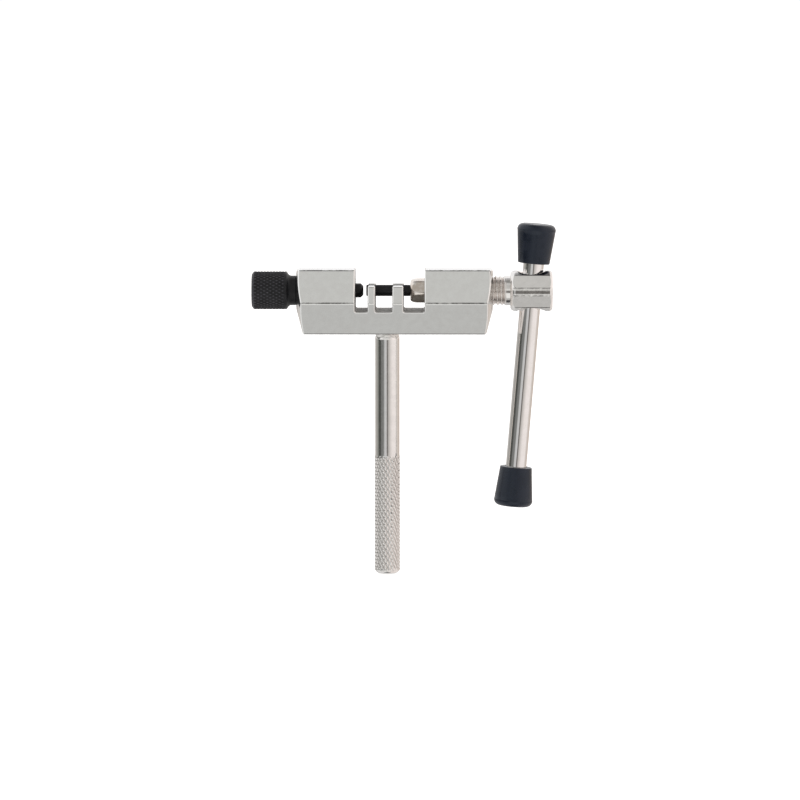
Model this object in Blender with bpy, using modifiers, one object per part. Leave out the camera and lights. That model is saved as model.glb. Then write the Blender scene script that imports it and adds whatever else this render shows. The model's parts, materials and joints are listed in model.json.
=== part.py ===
"""Bicycle chain tool: a slotted hexagonal body on a knurled handle.

A drive screw with a sliding tommy bar pushes a pin along +X/-X through the chain slot, against the nose of
a smaller support screw. Lengths are in metres. The origin is the centre of the handle's flat end face, +Z
runs up the handle, and +X runs along the drive screw towards its head.
"""

import math

import bmesh
import bpy

MM = 0.001
GAP = 0.3 * MM
OVERRUN = 1.0 * MM
SMALL_CHAMFER = 0.5 * MM
ROUND_SIDES = 48
SMALL_SIDES = 32
FINE_SIDES = 96
SHARP_ANGLE = math.radians(35)
ARC_STEPS = 4

# Handle
HANDLE_RADIUS = 3.6 * MM
KNURL_RADIUS = 3.76 * MM
KNURL_LENGTH = 35.0 * MM
HANDLE_LENGTH = 71.0 * MM
HANDLE_END_ROUND = 1.5 * MM
HANDLE_SHOULDER = 1.0 * MM
KNURL_STEP = 0.3 * MM
STUD_RADIUS = 2.5 * MM
STUD_LENGTH = 4.8 * MM

# Body: a hexagonal bar with flats above and below
BODY_FLATS = 19.0 * MM
BODY_LEFT = -26.7 * MM
BODY_RIGHT = 31.0 * MM
BODY_BOTTOM = HANDLE_LENGTH
BODY_TOP = BODY_BOTTOM + BODY_FLATS
BODY_CENTRE = BODY_BOTTOM + BODY_FLATS / 2
SCREW_AXIS = BODY_CENTRE + 3.1 * MM
END_CONE_RADIUS = 5.6 * MM
END_CONE_SLOPE = 0.26
ENVELOPE_RADIUS = 15.0 * MM

# Chain slot: three bays between the blocks and two posts
SLOT_LEFT = -9.4 * MM
SLOT_RIGHT = 11.0 * MM
SLOT_FLOOR = BODY_BOTTOM + 6.85 * MM
NARROW_POST = (-5.65 * MM, -3.47 * MM)
WIDE_POST = (1.56 * MM, 4.79 * MM)
POST_TOP = SCREW_AXIS + 1.74 * MM
SLOT_FILLET = 0.5 * MM
ROLLER_GROOVE_RADIUS = 4.0 * MM

# Drive screw, M9 x 1.25
DRIVE_RADIUS = 4.4 * MM
DRIVE_BORE_RADIUS = DRIVE_RADIUS + 0.15 * MM
DRIVE_START = 12.3 * MM
DRIVE_CHAMFER = 0.6 * MM
SPIGOT_RADIUS = 2.5 * MM
SPIGOT_START = 10.3 * MM
HEAD_START = 36.15 * MM
HEAD_END = 48.5 * MM
HEAD_FLATS = 11.8 * MM
HEAD_RADIUS = 6.2 * MM
HEAD_INNER_RADIUS = 5.2 * MM
HEAD_SHOULDER_RADIUS = 5.65 * MM
HEAD_SHOULDER = 0.25 * MM
HEAD_INNER_TAPER = 1.4 * MM
HEAD_CHAMFER = 0.76 * MM
SHANK_OVERLAP = 1.5 * MM
CROSS_HOLE_AT = 42.3 * MM
CROSS_HOLE_RADIUS = 3.53 * MM
COUNTERSINK_RADIUS = 4.6 * MM
COUNTERSINK_DEPTH = 1.3 * MM

# Retainer of the drive pin
NUT_START = 6.76 * MM
NUT_END = DRIVE_START - GAP
NUT_RADIUS = 3.65 * MM
NUT_FLATS = 6.9 * MM
NUT_FACE_RADIUS = 2.85 * MM
NUT_CONE = 2.6 * MM
NUT_WALL = 1.34 * MM

# Drive pin
PIN_TIP = -6.17 * MM
PIN_RADIUS = 1.675 * MM
PIN_TIP_ROUND = 0.3 * MM
PIN_FLANGE_RADIUS = 2.4 * MM
PIN_HOLE_RADIUS = PIN_RADIUS + 0.2 * MM

# Tommy bar: lengths along the bar are counted from the screw's axis
BAR_LEAN = math.radians(4.8)
BAR_RADIUS = 3.05 * MM
CAP_LENGTH = 11.7 * MM
UPPER_CAP_START = 8.05 * MM
LOWER_CAP_START = 52.2 * MM
CAP_BORE_DEPTH = 9.5 * MM
CAP_BORE_RADIUS = BAR_RADIUS + GAP
CAP_MOUTH_RADIUS = 4.7 * MM
CAP_END_RADIUS = 5.75 * MM
CAP_CORNER = 1.7 * MM
CAP_LIP = 0.3 * MM

# Support screw, M8 x 1.25
KNOB_START = -39.8 * MM
KNOB_END = -29.4 * MM
KNOB_RADIUS = 5.6 * MM
KNOB_CHAMFER = 0.7 * MM
KNOB_SHOULDER = 0.4 * MM
NECK_RADIUS = 4.35 * MM
NECK_FILLET = 1.2 * MM
SHANK_RADIUS = 4.0 * MM
SHANK_END = -12.6 * MM
SUPPORT_BORE_RADIUS = SHANK_RADIUS + 0.15 * MM
NOSE_TIP = -7.03 * MM
NOSE_RADIUS = 2.1 * MM
NOSE_FACE_RADIUS = 1.35 * MM
STEM_RADIUS = 1.5 * MM
STEM_START = -19.0 * MM

# Colours (linear), metallic value and roughness
STEEL = ((0.60, 0.59, 0.57), 1.0, 0.34)
KNURLED_STEEL = ((0.58, 0.56, 0.53), 1.0, 0.32)
SPINDLE_STEEL = ((0.55, 0.53, 0.50), 1.0, 0.28)
NUT_STEEL = ((0.42, 0.40, 0.38), 1.0, 0.30)
BAR_STEEL = ((0.66, 0.65, 0.64), 1.0, 0.15)
BLACK_OXIDE = ((0.020, 0.020, 0.022), 0.7, 0.42)
CAP_RUBBER = ((0.035, 0.040, 0.052), 0.0, 0.55)


def clear_scene():
    """Empty the file of objects."""
    for item in list(bpy.data.objects):
        bpy.data.objects.remove(item, do_unlink=True)


def new_collection(name):
    """A collection under the scene's own."""
    group = bpy.data.collections.new(name)
    bpy.context.scene.collection.children.link(group)
    return group


def new_material(name, finish):
    """A Principled material from a (colour, metallic, roughness) finish."""
    colour, metallic, roughness = finish
    material = bpy.data.materials.new(name)
    material.use_nodes = True
    shader = material.node_tree.nodes["Principled BSDF"]
    shader.inputs["Base Color"].default_value = (*colour, 1.0)
    shader.inputs["Metallic"].default_value = metallic
    shader.inputs["Roughness"].default_value = roughness
    return material


def new_axis(name, location, lean=0.0):
    """An empty whose local Z is an axis in the XZ plane, leaning from +Z towards +X."""
    axis = bpy.data.objects.new(name, None)
    axis.empty_display_size = 5 * MM
    axis.location = location
    axis.rotation_euler = (0, lean, 0)
    PARTS.objects.link(axis)
    return axis


def new_object(name, mesh, axis=None):
    """A part on the given axis empty."""
    part = bpy.data.objects.new(name, mesh)
    part.parent = axis
    PARTS.objects.link(part)
    return part


def turned(name, profile, axis=None, sides=ROUND_SIDES):
    """A turned part: (radius, height) points from the top of local Z, down the outside, to the bottom."""
    mesh = bpy.data.meshes.new(name)
    shape = bmesh.new()
    points = [shape.verts.new((radius, 0, height)) for radius, height in profile]
    for first, second in zip(points, points[1:]):
        shape.edges.new((first, second))
    shape.to_mesh(mesh)
    shape.free()
    part = new_object(name, mesh, axis)
    screw = part.modifiers.new("turn", "SCREW")
    screw.angle = 2 * math.pi
    screw.steps = sides
    screw.render_steps = sides
    screw.use_merge_vertices = True
    screw.merge_threshold = 0.00001
    return part


def hexagon(name, across_flats, low, high, axis=None):
    """A hexagonal bar along local Z, with flats facing local +X and -X."""
    mesh = bpy.data.meshes.new(name)
    shape = bmesh.new()
    corner_radius = across_flats / math.sqrt(3)
    bmesh.ops.create_cone(shape, cap_ends=True, segments=6, radius1=corner_radius, radius2=corner_radius,
                          depth=high - low)
    bmesh.ops.translate(shape, verts=shape.verts, vec=(0, 0, (low + high) / 2))
    shape.to_mesh(mesh)
    shape.free()
    return new_object(name, mesh, axis)


def rounded(corners):
    """Outline points from (x, y, fillet radius) corners, with an arc in place of each filleted corner."""
    outline = []
    for index, (x, y, radius) in enumerate(corners):
        if radius == 0:
            outline.append((x, y))
            continue
        before = corners[index - 1]
        after = corners[(index + 1) % len(corners)]
        to_before = math.atan2(before[1] - y, before[0] - x)
        turn = math.remainder(math.atan2(after[1] - y, after[0] - x) - to_before, 2 * math.pi)
        reach = radius / math.sin(abs(turn) / 2)
        middle = to_before + turn / 2
        centre = (x + reach * math.cos(middle), y + reach * math.sin(middle))
        start = to_before - math.copysign(math.pi / 2, turn)
        sweep = math.remainder(turn - math.copysign(math.pi, turn), 2 * math.pi)
        for step in range(ARC_STEPS + 1):
            angle = start + sweep * step / ARC_STEPS
            outline.append((centre[0] + radius * math.cos(angle), centre[1] + radius * math.sin(angle)))
    return outline


def plate(name, outline, thickness):
    """A flat plate, its outline in world X and Z, centred on the plane y = 0."""
    curve = bpy.data.curves.new(name, "CURVE")
    curve.dimensions = "2D"
    curve.fill_mode = "BOTH"
    curve.extrude = thickness / 2
    spline = curve.splines.new("POLY")
    spline.points.add(len(outline) - 1)
    for point, (x, z) in zip(spline.points, outline):
        point.co = (x, z, 0, 1)
    spline.use_cyclic_u = True
    drawn = bpy.data.objects.new(name + "_outline", curve)
    PARTS.objects.link(drawn)
    depsgraph = bpy.context.evaluated_depsgraph_get()
    mesh = bpy.data.meshes.new_from_object(drawn.evaluated_get(depsgraph))
    bpy.data.objects.remove(drawn)
    shape = bmesh.new()
    shape.from_mesh(mesh)
    bmesh.ops.remove_doubles(shape, verts=shape.verts, dist=0.000001)
    shape.to_mesh(mesh)
    shape.free()
    part = new_object(name, mesh)
    part.rotation_euler = (math.pi / 2, 0, 0)
    return part


def combine(part, tool, operation="DIFFERENCE"):
    """Cut, trim or join a part with a tool shape, which moves to the cutters."""
    step = part.modifiers.new(tool.name, "BOOLEAN")
    step.operation = operation
    step.solver = "EXACT"
    step.object = tool
    PARTS.objects.unlink(tool)
    CUTTERS.objects.link(tool)
    tool.hide_render = True
    tool.display_type = "WIRE"


def settle(part, finish):
    """Apply the part's modifiers, shade its round faces smooth and give it its material."""
    depsgraph = bpy.context.evaluated_depsgraph_get()
    mesh = bpy.data.meshes.new_from_object(part.evaluated_get(depsgraph))
    part.modifiers.clear()
    part.data = mesh
    mesh.shade_smooth()
    mesh.set_sharp_from_angle(angle=SHARP_ANGLE)
    mesh.materials.clear()
    mesh.materials.append(new_material(part.name, finish))
    return part


def quarter_round(radius, height, corner, rising):
    """Profile points of a convex corner: from the end face round to the side, or back when not rising."""
    centre = radius - corner
    points = []
    for step in range(ARC_STEPS + 1):
        angle = math.pi / 2 * step / ARC_STEPS
        points.append((centre + corner * math.sin(angle), height + corner * (math.cos(angle) - 1)))
    if rising:
        return points
    return [(x, 2 * height - z) for x, z in reversed(points)]


def bored(name, radius, low, high, axis=None):
    """A round cutter along local Z."""
    return turned(name, [(0, high), (radius, high), (radius, low), (0, low)], axis)


def slot_outline():
    """The chain slot as a comb open at the top, with the two posts left standing in it."""
    above = BODY_TOP + OVERRUN
    corners = [(SLOT_LEFT, above, 0), (SLOT_LEFT, SLOT_FLOOR, SLOT_FILLET)]
    for left, right in (NARROW_POST, WIDE_POST):
        corners += [(left, SLOT_FLOOR, SLOT_FILLET), (left, POST_TOP, 0)]
        corners += [(right, POST_TOP, 0), (right, SLOT_FLOOR, SLOT_FILLET)]
    corners += [(SLOT_RIGHT, SLOT_FLOOR, SLOT_FILLET), (SLOT_RIGHT, above, 0)]
    return rounded(corners)


def make_body(hex_axis, screw_axis):
    """The hexagonal body, turned at its ends, slotted, grooved for a roller, bored and tapped."""
    body = hexagon("body", BODY_FLATS, BODY_LEFT, BODY_RIGHT, hex_axis)
    cone_length = (ENVELOPE_RADIUS - END_CONE_RADIUS) * END_CONE_SLOPE
    outer_radius = END_CONE_RADIUS - OVERRUN / END_CONE_SLOPE
    envelope = [(0, BODY_RIGHT + OVERRUN), (outer_radius, BODY_RIGHT + OVERRUN),
                (ENVELOPE_RADIUS, BODY_RIGHT - cone_length), (ENVELOPE_RADIUS, BODY_LEFT + cone_length),
                (outer_radius, BODY_LEFT - OVERRUN), (0, BODY_LEFT - OVERRUN)]
    combine(body, turned("body_turned_ends", envelope, screw_axis, FINE_SIDES), "INTERSECT")
    combine(body, plate("chain_slot", slot_outline(), 2 * BODY_FLATS))

    bores = [("roller_groove", ROLLER_GROOVE_RADIUS, NARROW_POST[0], WIDE_POST[1]),
             ("drive_bore", DRIVE_BORE_RADIUS, SLOT_RIGHT, BODY_RIGHT),
             ("support_bore", SUPPORT_BORE_RADIUS, BODY_LEFT, SLOT_LEFT)]
    for name, radius, low, high in bores:
        combine(body, bored(name, radius, low - OVERRUN, high + OVERRUN, screw_axis))
    stud_hole_end = BODY_BOTTOM + STUD_LENGTH + GAP
    combine(body, bored("stud_hole", STUD_RADIUS + GAP, BODY_BOTTOM - OVERRUN, stud_hole_end))
    return settle(body, STEEL)


def make_handle():
    """The handle, with its knurled band a little proud of the smooth rod."""
    top = HANDLE_LENGTH - GAP
    profile = [(0, top + STUD_LENGTH), (STUD_RADIUS, top + STUD_LENGTH), (STUD_RADIUS, top),
               (HANDLE_RADIUS - HANDLE_SHOULDER / 2, top), (HANDLE_RADIUS, top - HANDLE_SHOULDER),
               (HANDLE_RADIUS, KNURL_LENGTH), (KNURL_RADIUS, KNURL_LENGTH - KNURL_STEP)]
    profile += quarter_round(KNURL_RADIUS, 0, HANDLE_END_ROUND, False)
    profile.append((0, 0))
    return settle(turned("handle", profile), KNURLED_STEEL)


def make_drive_screw(axis, cross_axis):
    """The spindle: spigot for the retainer, thread, collar and a cross-drilled hexagonal head."""
    shank_end = HEAD_START + SHANK_OVERLAP
    shank = [(0, shank_end), (DRIVE_RADIUS, shank_end),
             (DRIVE_RADIUS, DRIVE_START + DRIVE_CHAMFER), (DRIVE_RADIUS - DRIVE_CHAMFER, DRIVE_START),
             (SPIGOT_RADIUS, DRIVE_START), (SPIGOT_RADIUS, SPIGOT_START), (0, SPIGOT_START)]
    screw = turned("drive_screw", shank, axis)

    head = hexagon("head", HEAD_FLATS, HEAD_START - OVERRUN, HEAD_END + OVERRUN, axis)
    envelope = [(0, HEAD_END), (HEAD_RADIUS - HEAD_CHAMFER, HEAD_END), (HEAD_RADIUS, HEAD_END - HEAD_CHAMFER),
                (HEAD_RADIUS, HEAD_START + HEAD_INNER_TAPER),
                (HEAD_SHOULDER_RADIUS, HEAD_START + HEAD_SHOULDER), (HEAD_INNER_RADIUS, HEAD_START),
                (0, HEAD_START)]
    combine(head, turned("head_turned", envelope, axis), "INTERSECT")
    combine(screw, head, "UNION")

    reach = HEAD_FLATS / 2
    flare = COUNTERSINK_RADIUS - CROSS_HOLE_RADIUS
    mouth = COUNTERSINK_RADIUS + flare
    hole = [(0, reach + COUNTERSINK_DEPTH), (mouth, reach + COUNTERSINK_DEPTH),
            (CROSS_HOLE_RADIUS, reach - COUNTERSINK_DEPTH), (CROSS_HOLE_RADIUS, COUNTERSINK_DEPTH - reach),
            (mouth, -reach - COUNTERSINK_DEPTH), (0, -reach - COUNTERSINK_DEPTH)]
    cross_hole = turned("cross_hole", hole, cross_axis)
    cross_hole.rotation_euler = (0, -BAR_LEAN, 0)
    combine(screw, cross_hole)
    return settle(screw, SPINDLE_STEEL)


def make_pin_nut(axis):
    """The retainer: a coned hexagonal nut with a pin hole in its face and a bore for the spigot."""
    nut = hexagon("pin_nut", NUT_FLATS, NUT_START - OVERRUN, NUT_END + OVERRUN, axis)
    envelope = [(0, NUT_END), (NUT_RADIUS, NUT_END), (NUT_RADIUS, NUT_START + NUT_CONE),
                (NUT_FACE_RADIUS, NUT_START), (0, NUT_START)]
    combine(nut, turned("nut_turned", envelope, axis), "INTERSECT")
    inside = [(0, NUT_END + OVERRUN), (SPIGOT_RADIUS + GAP, NUT_END + OVERRUN),
              (SPIGOT_RADIUS + GAP, NUT_START + NUT_WALL), (PIN_HOLE_RADIUS, NUT_START + NUT_WALL),
              (PIN_HOLE_RADIUS, NUT_START - OVERRUN), (0, NUT_START - OVERRUN)]
    combine(nut, turned("nut_inside", inside, axis, SMALL_SIDES))
    return settle(nut, NUT_STEEL)


def make_drive_pin(axis):
    """The hardened pin, with the flange that the retainer holds."""
    flange_end = SPIGOT_START - GAP
    flange_start = NUT_START + NUT_WALL + GAP
    profile = [(0, flange_end), (PIN_FLANGE_RADIUS, flange_end), (PIN_FLANGE_RADIUS, flange_start),
               (PIN_RADIUS, flange_start)]
    profile += quarter_round(PIN_RADIUS, PIN_TIP, PIN_TIP_ROUND, False)
    profile.append((0, PIN_TIP))
    return settle(turned("drive_pin", profile, axis, SMALL_SIDES), BLACK_OXIDE)


def make_tommy_bar(axis):
    """The round bar that slides in the head."""
    high = UPPER_CAP_START + CAP_BORE_DEPTH - GAP
    low = -(LOWER_CAP_START + CAP_BORE_DEPTH - GAP)
    profile = [(0, high), (BAR_RADIUS - SMALL_CHAMFER, high), (BAR_RADIUS, high - SMALL_CHAMFER),
               (BAR_RADIUS, low + SMALL_CHAMFER), (BAR_RADIUS - SMALL_CHAMFER, low), (0, low)]
    return settle(turned("tommy_bar", profile, axis), BAR_STEEL)


def make_cap(name, start, pointing_up, axis):
    """A blind-bored cap that widens towards its rounded end."""
    end = start + CAP_LENGTH
    bore_end = start + CAP_BORE_DEPTH
    outside = [(0, end)] + quarter_round(CAP_END_RADIUS, end, CAP_CORNER, True)
    outside += [(CAP_MOUTH_RADIUS, start + CAP_LIP), (CAP_MOUTH_RADIUS - CAP_LIP, start)]
    inside = [(CAP_BORE_RADIUS, start), (CAP_BORE_RADIUS, bore_end), (0, bore_end)]
    cap = turned(name, outside + inside, axis)
    if not pointing_up:
        cap.rotation_euler = (math.pi, 0, 0)
    return settle(cap, CAP_RUBBER)


def make_support_knob(axis):
    """The support screw: knurled knob, filleted neck and threaded shank with a hole for the nose."""
    neck_end = BODY_LEFT - GAP
    hole_radius = STEM_RADIUS + GAP
    profile = [(0, STEM_START - GAP), (hole_radius, STEM_START - GAP), (hole_radius, SHANK_END),
               (SHANK_RADIUS - SMALL_CHAMFER, SHANK_END), (SHANK_RADIUS, SHANK_END - SMALL_CHAMFER),
               (SHANK_RADIUS, neck_end), (NECK_RADIUS, neck_end)]
    for step in range(ARC_STEPS + 1):
        angle = math.pi / 2 * step / ARC_STEPS
        profile.append((NECK_RADIUS + NECK_FILLET * (1 - math.cos(angle)),
                        KNOB_END + NECK_FILLET * (1 - math.sin(angle))))
    profile += [(KNOB_RADIUS, KNOB_END - KNOB_SHOULDER), (KNOB_RADIUS, KNOB_START + KNOB_CHAMFER),
                (KNOB_RADIUS - KNOB_CHAMFER, KNOB_START), (0, KNOB_START)]
    return settle(turned("support_knob", profile, axis), BLACK_OXIDE)


def make_support_nose(axis):
    """The nose in the end of the support screw, which doesn't turn with it."""
    chamfer = NOSE_RADIUS - NOSE_FACE_RADIUS
    shoulder = SHANK_END + GAP
    profile = [(0, NOSE_TIP), (NOSE_FACE_RADIUS, NOSE_TIP), (NOSE_RADIUS, NOSE_TIP - chamfer),
               (NOSE_RADIUS, shoulder), (STEM_RADIUS, shoulder), (STEM_RADIUS, STEM_START), (0, STEM_START)]
    return settle(turned("support_nose", profile, axis, SMALL_SIDES), BLACK_OXIDE)


clear_scene()
PARTS = new_collection("bicycle_chain_tool")
CUTTERS = new_collection("cutters")
ALONG_X = math.pi / 2
body_axis = new_axis("body_axis", (0, 0, BODY_CENTRE), ALONG_X)
drive_axis = new_axis("drive_axis", (0, 0, SCREW_AXIS), ALONG_X)
support_axis = new_axis("support_axis", (0, 0, SCREW_AXIS), ALONG_X)
bar_axis = new_axis("bar_axis", (CROSS_HOLE_AT, 0, SCREW_AXIS), BAR_LEAN)

make_body(body_axis, drive_axis)
make_handle()
make_drive_screw(drive_axis, bar_axis)
make_pin_nut(drive_axis)
make_drive_pin(drive_axis)
make_tommy_bar(bar_axis)
make_cap("upper_cap", UPPER_CAP_START, True, bar_axis)
make_cap("lower_cap", LOWER_CAP_START, False, bar_axis)
make_support_knob(support_axis)
make_support_nose(support_axis)
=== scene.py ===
"""The chain tool's finished look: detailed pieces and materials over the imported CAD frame."""
import json
import math

import bmesh
import bpy
import numpy as np
from mathutils import Matrix, Vector


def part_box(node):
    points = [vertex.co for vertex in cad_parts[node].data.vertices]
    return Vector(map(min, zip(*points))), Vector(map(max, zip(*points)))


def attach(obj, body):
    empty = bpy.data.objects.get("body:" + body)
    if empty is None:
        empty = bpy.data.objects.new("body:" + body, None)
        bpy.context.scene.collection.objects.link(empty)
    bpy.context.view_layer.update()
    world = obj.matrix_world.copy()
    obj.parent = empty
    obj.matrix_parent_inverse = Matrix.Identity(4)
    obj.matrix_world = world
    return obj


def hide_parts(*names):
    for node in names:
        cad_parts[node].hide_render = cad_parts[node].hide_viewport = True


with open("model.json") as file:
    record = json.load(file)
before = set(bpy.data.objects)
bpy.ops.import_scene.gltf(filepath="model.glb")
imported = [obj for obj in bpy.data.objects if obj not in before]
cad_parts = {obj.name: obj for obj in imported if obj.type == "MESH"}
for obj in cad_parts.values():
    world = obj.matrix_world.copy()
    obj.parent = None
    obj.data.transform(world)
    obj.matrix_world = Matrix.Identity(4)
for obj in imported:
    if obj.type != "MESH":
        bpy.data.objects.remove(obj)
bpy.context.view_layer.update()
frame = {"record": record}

MM = 0.001

# ---------------------------------------------------------------- places, from the frame
JOINTS = {joint["name"]: joint for joint in frame["record"]["behaviour"]["joints"]}
SCREW_AXIS = JOINTS["drive_turn"]["pos_m"][2]
HEAD_CENTRE = JOINTS["drive_turn"]["pos_m"][0]
BAR_LEAN = math.atan2(JOINTS["bar_slide"]["axis"][0], JOINTS["bar_slide"]["axis"][2])
BODY_LOW, BODY_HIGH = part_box("body")
BODY_CENTRE = (BODY_LOW[2] + BODY_HIGH[2]) / 2
BODY_FLATS = BODY_HIGH[2] - BODY_LOW[2]
SCREW_LOW, SCREW_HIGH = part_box("drive_screw")
NUT_LOW, NUT_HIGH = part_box("pin_nut")
PIN_LOW, PIN_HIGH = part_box("drive_pin")
KNOB_LOW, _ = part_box("support_knob")
NOSE_LOW, NOSE_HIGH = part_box("support_nose")

# ---------------------------------------------------------------- sizes
# Meshing: how far a cutter passes the surface it opens, and a hexagon's angles in degrees
SHARP_ANGLE = math.radians(32)
OVERRUN = 1.0 * MM
HEX_STEP = 60
HEX_HALF = 30

# Body
END_CONE_RADIUS = 5.6 * MM
END_CONE_SLOPE = 0.26
ENVELOPE_RADIUS = 15.0 * MM
SLOT_LEFT = -9.4 * MM
SLOT_RIGHT = 11.0 * MM
SLOT_FLOOR = BODY_LOW[2] + 6.85 * MM
NARROW_POST = (-5.65 * MM, -3.47 * MM)
WIDE_POST = (1.56 * MM, 4.79 * MM)
POST_TOP = SCREW_AXIS + 1.74 * MM
SLOT_FILLET = 0.55 * MM
ROLLER_GROOVE_RADIUS = 4.0 * MM
DRIVE_BORE_RADIUS = 4.55 * MM
SUPPORT_BORE_RADIUS = 4.15 * MM
STUD_HOLE_RADIUS = 2.8 * MM
STUD_HOLE_DEPTH = 5.1 * MM
EDGE_SOFTNESS = 0.42 * MM

# Handle
HANDLE_RADIUS = 3.6 * MM
KNURL_RADIUS = 3.76 * MM
KNURL_LENGTH = 35.0 * MM
HANDLE_CORNER = 1.5 * MM
HANDLE_SHOULDER = 1.0 * MM

# Threads: the shares of the lead that are the flat crest and the two flanks; the root is the rest
LEAD = 1.25 * MM
THREAD_DEPTH = 0.54 * MM
THREAD_CREST = 0.06
THREAD_FLANK = 0.74

# Drive screw
THREAD_RADIUS = 4.4 * MM
THREAD_START = 12.3 * MM
THREAD_END = 34.7 * MM
SPIGOT_RADIUS = 2.5 * MM
COLLAR_EDGE = 0.15 * MM
HEAD_START = 36.15 * MM
HEAD_END = SCREW_HIGH[0]
HEAD_FLATS = 11.8 * MM
HEAD_RADIUS = 6.2 * MM
CROSS_HOLE_RADIUS = 3.53 * MM
COUNTERSINK_RADIUS = 4.6 * MM
COUNTERSINK_DEPTH = 1.3 * MM

# Tommy bar and caps, along the bar from the screw's axis
BAR_RADIUS = 3.05 * MM
BAR_CHAMFER = 0.5 * MM
BAR_END_GAP = 0.3 * MM
CAP_LENGTH = 11.6 * MM
UPPER_CAP_START = 8.05 * MM
LOWER_CAP_START = 52.2 * MM
CAP_BORE_DEPTH = 9.5 * MM
CAP_MOUTH_RADIUS = 4.7 * MM
CAP_MOUTH_EDGE = 0.25 * MM
CAP_END_RADIUS = 5.68 * MM
CAP_CORNER = 1.7 * MM
CAP_LIP_PLACE = 1.95 * MM
CAP_LIP = 0.05 * MM

# Retainer, pin and support screw
NUT_RADIUS = 3.65 * MM
NUT_FLATS = 6.65 * MM
NUT_FACE_RADIUS = 2.85 * MM
NUT_CONE = 2.6 * MM
NUT_TURN = math.radians(10)
PIN_RADIUS = 1.675 * MM
PIN_CORNER = 0.3 * MM
FLANGE_RADIUS = 2.4 * MM
FLANGE_LENGTH = 1.6 * MM
KNOB_END = -29.4 * MM
KNOB_RADIUS = 5.6 * MM
NECK_RADIUS = 4.35 * MM
SHANK_RADIUS = 4.0 * MM
SHANK_END = -12.6 * MM
NOSE_RADIUS = 2.1 * MM
NOSE_FACE_RADIUS = 1.35 * MM
STEM_RADIUS = 1.5 * MM

# Floor and camera
FLOOR_RADIUS = 3.0
FLOOR_GAP = 0.3 * MM
CAMERA_TARGET = Vector((3.73 * MM, 0, 51.25 * MM))
CAMERA_DISTANCE = 1.5
CAMERA_ELEVATION = math.radians(5.54)
CAMERA_AZIMUTH = math.radians(0.6)
LENS = 229.3
SENSOR_WIDTH = 36.0


# ---------------------------------------------------------------- mesh helpers
def new_piece(name, mesh, matrix=None):
    """Link a mesh as a new object at a matrix."""
    piece = bpy.data.objects.new(name, mesh)
    bpy.context.scene.collection.objects.link(piece)
    if matrix is not None:
        piece.matrix_world = matrix
    return piece


def mesh_from(name, shape):
    """A mesh from an edited shape, which is freed."""
    mesh = bpy.data.meshes.new(name)
    shape.to_mesh(mesh)
    shape.free()
    return mesh


def along_x(height):
    """The matrix that lays local Z along +X on the axis y = 0, z = height."""
    return Matrix.Translation((0, 0, height)) @ Matrix.Rotation(math.pi / 2, 4, "Y")


def along_bar(flip=False):
    """The matrix that lays local Z along the tommy bar, up from the screw's axis, or down if flipped."""
    turn = math.pi if flip else 0
    return (Matrix.Translation((HEAD_CENTRE, 0, SCREW_AXIS)) @ Matrix.Rotation(BAR_LEAN, 4, "Y")
            @ Matrix.Rotation(turn, 4, "X"))


def ring_angles(columns):
    """The angles of the points of a ring."""
    return np.linspace(0, 2 * math.pi, columns, endpoint=False)


def profile_arrays(profile):
    """The radii and the heights of a profile's points."""
    radii, heights = zip(*profile)
    return np.array(radii), np.array(heights)


def ring_mesh(name, radii, heights):
    """A closed tube from radii (rows x columns) at heights (rows) that rise along local Z."""
    rows, columns = radii.shape
    angles = ring_angles(columns)
    points = np.empty((rows, columns, 3))
    points[..., 0] = radii * np.cos(angles)
    points[..., 1] = radii * np.sin(angles)
    points[..., 2] = heights[:, None]
    index = np.arange(rows * columns).reshape(rows, columns)
    after = np.roll(index, -1, axis=1)
    quads = np.stack([index[:-1], after[:-1], after[1:], index[1:]], axis=-1).reshape(-1, 4)
    vertices = points.reshape(-1, 3).tolist()
    faces = quads.tolist()
    for row, flip in ((0, True), (rows - 1, False)):
        centre = len(vertices)
        vertices.append(points[row].mean(axis=0).tolist())
        for first, second in zip(index[row], after[row]):
            edge = (int(second), int(first)) if flip else (int(first), int(second))
            faces.append([*edge, centre])
    mesh = bpy.data.meshes.new(name)
    mesh.from_pydata(vertices, [], faces)
    return mesh


def turned_mesh(name, profile, columns=96):
    """A turned mesh from (radius, height) points that rise along local Z."""
    radii, heights = profile_arrays(profile)
    return ring_mesh(name, np.repeat(radii[:, None], columns, axis=1), heights)


def turned_tool(profile, matrix, columns=96):
    """A turned cutter."""
    return new_piece("tool", turned_mesh("tool", profile, columns), matrix)


def arc(radius, height, size, start, end, steps=6):
    """Profile points on an arc, its angles in degrees from the outward radius towards +height."""
    return [(radius + size * math.cos(math.radians(a)), height + size * math.sin(math.radians(a)))
            for a in np.linspace(start, end, steps + 1)]


def apply_modifiers(piece):
    """Bake a piece's modifiers into its mesh."""
    depsgraph = bpy.context.evaluated_depsgraph_get()
    mesh = bpy.data.meshes.new_from_object(piece.evaluated_get(depsgraph))
    piece.modifiers.clear()
    piece.data = mesh


def combine(piece, tool, operation="DIFFERENCE"):
    """Cut or trim a piece with a tool, and remove the tool."""
    step = piece.modifiers.new("cut", "BOOLEAN")
    step.operation = operation
    step.solver = "EXACT"
    step.object = tool
    apply_modifiers(piece)
    bpy.data.objects.remove(tool)


def bore(piece, radius, low, high, matrix):
    """Cut a round hole along the local Z of a matrix."""
    combine(piece, turned_tool([(radius, low), (radius, high)], matrix))


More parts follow.
